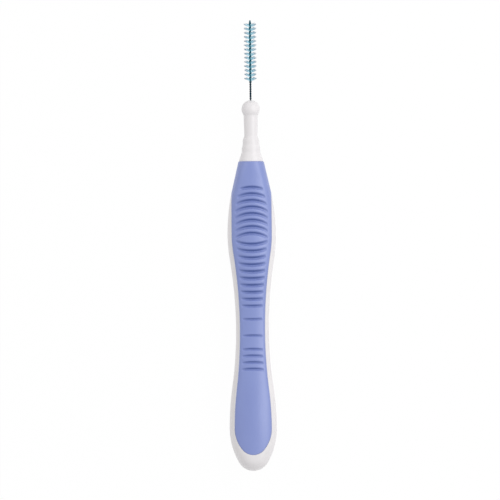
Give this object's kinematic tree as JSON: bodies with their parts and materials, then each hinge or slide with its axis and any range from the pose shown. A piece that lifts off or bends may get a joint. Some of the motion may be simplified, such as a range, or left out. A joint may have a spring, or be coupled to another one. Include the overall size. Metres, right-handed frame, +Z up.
{
  "type": "interdental brush",
  "caption": "Slim interdental brush: filaments held in a twisted coated wire, set in a ball-ended white neck, on a waisted handle with a ribbed soft grip.",
  "frame": {"origin": "on the surface that the brush lies on, below the middle of its length", "axes": "+Y along the brush from the butt end to the wire's tip, +Z up out of the front of the grip, +X to its right"},
  "size_m": [0.0102, 0.0952, 0.0076],
  "materials": {
    "core_plastic": "satin white moulding",
    "grip_rubber": "matt lavender blue, moulded over the core",
    "coated_wire": "dark plastic coating",
    "filament": "pale translucent nylon"
  },
  "bodies": {
    "root": {"handle_core": "core_plastic", "soft_grip": "grip_rubber", "twisted_wire": "coated_wire", "bristle_row_01": "filament", "bristle_row_02": "filament", "bristle_row_03": "filament", "bristle_row_04": "filament", "bristle_row_05": "filament", "bristle_row_06": "filament", "bristle_row_07": "filament", "bristle_row_08": "filament", "bristle_row_09": "filament", "bristle_row_10": "filament", "bristle_row_11": "filament", "bristle_row_12": "filament", "bristle_row_13": "filament", "bristle_row_14": "filament"}
  },
  "joints": []
}
